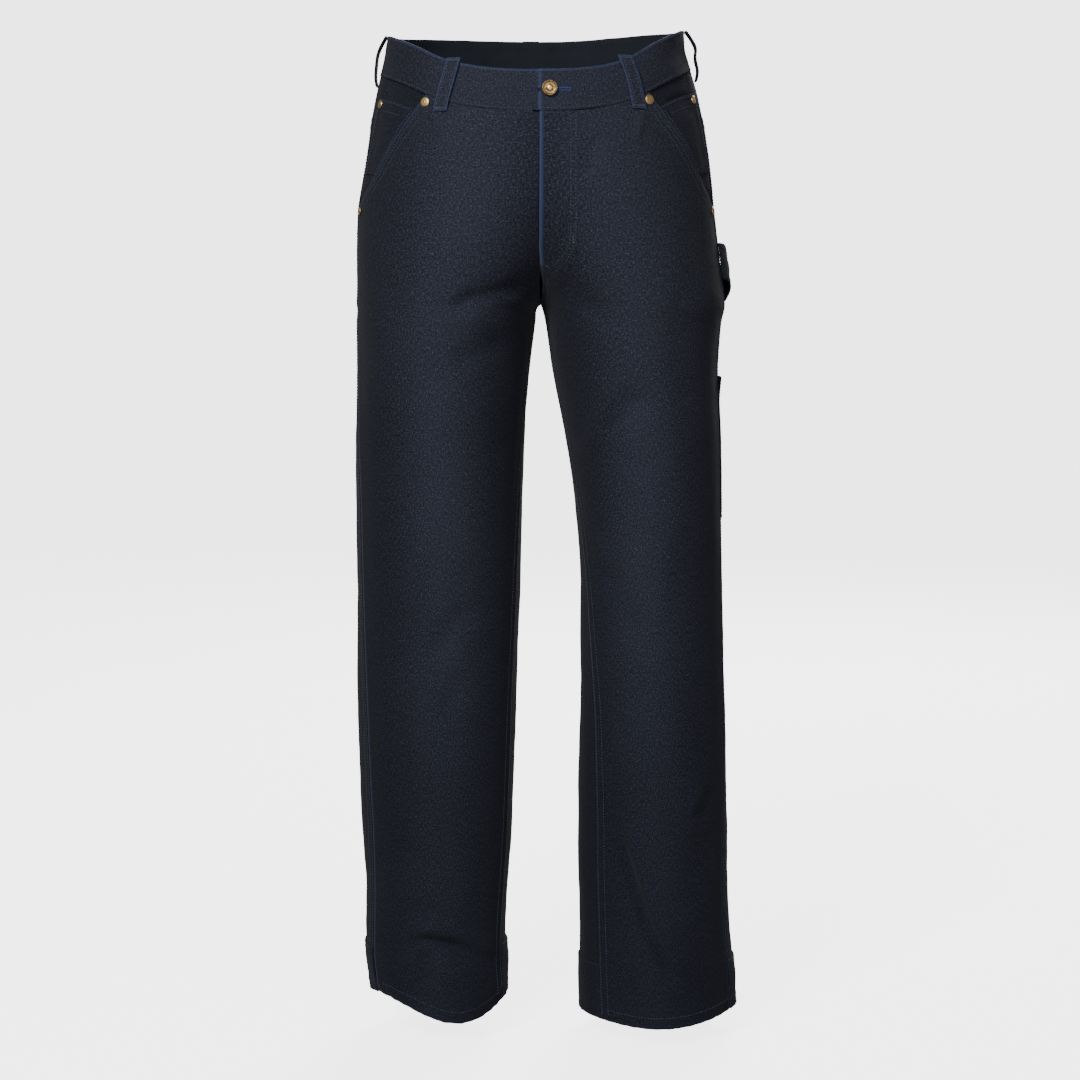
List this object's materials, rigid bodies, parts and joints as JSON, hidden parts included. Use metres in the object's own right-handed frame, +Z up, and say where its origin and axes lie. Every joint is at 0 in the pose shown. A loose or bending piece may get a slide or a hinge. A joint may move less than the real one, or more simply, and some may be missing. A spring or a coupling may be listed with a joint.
{
  "type": "carpenter pants",
  "caption": "Straight-leg dark denim carpenter pants with slash pockets, hammer loop and tool pocket, filled out hollow as when worn.",
  "frame": {"origin": "centre of the waist opening, half way up the waistband at the sides, where the wearer holds it", "axes": "+X to the wearer's left, +Y to the wearer's back, +Z up"},
  "size_m": [0.434, 0.2657, 1.1173],
  "materials": {
    "denim": "dark indigo twill, matt, lightly rubbed along edges",
    "denim_double": "dark indigo twill folded double, matt",
    "brass": "bright rivets",
    "antique_brass": "darkened button, worn bright on the crown"
  },
  "bodies": {
    "root": {"front_right": "denim", "front_left": "denim", "back_right": "denim", "back_left": "denim", "yoke_right": "denim", "yoke_left": "denim", "pocket_facing_right": "denim", "pocket_facing_left": "denim", "coin_pocket_right": "denim", "coin_pocket_left": "denim", "back_pocket_right": "denim", "back_pocket_left": "denim", "tool_pocket": "denim", "waistband": "denim_double", "belt_loop_back": "denim_double", "hammer_loop": "denim_double", "belt_loop_front_right": "denim_double", "belt_loop_front_left": "denim_double", "belt_loop_side_right": "denim_double", "belt_loop_side_left": "denim_double", "heel_patch_right": "denim_double", "heel_patch_left": "denim_double", "rivet_slash_top_right": "brass", "rivet_slash_top_left": "brass", "rivet_slash_foot_right": "brass", "rivet_slash_foot_left": "brass", "rivet_coin_right": "brass", "rivet_coin_left": "brass", "waist_button": "antique_brass"}
  },
  "joints": []
}
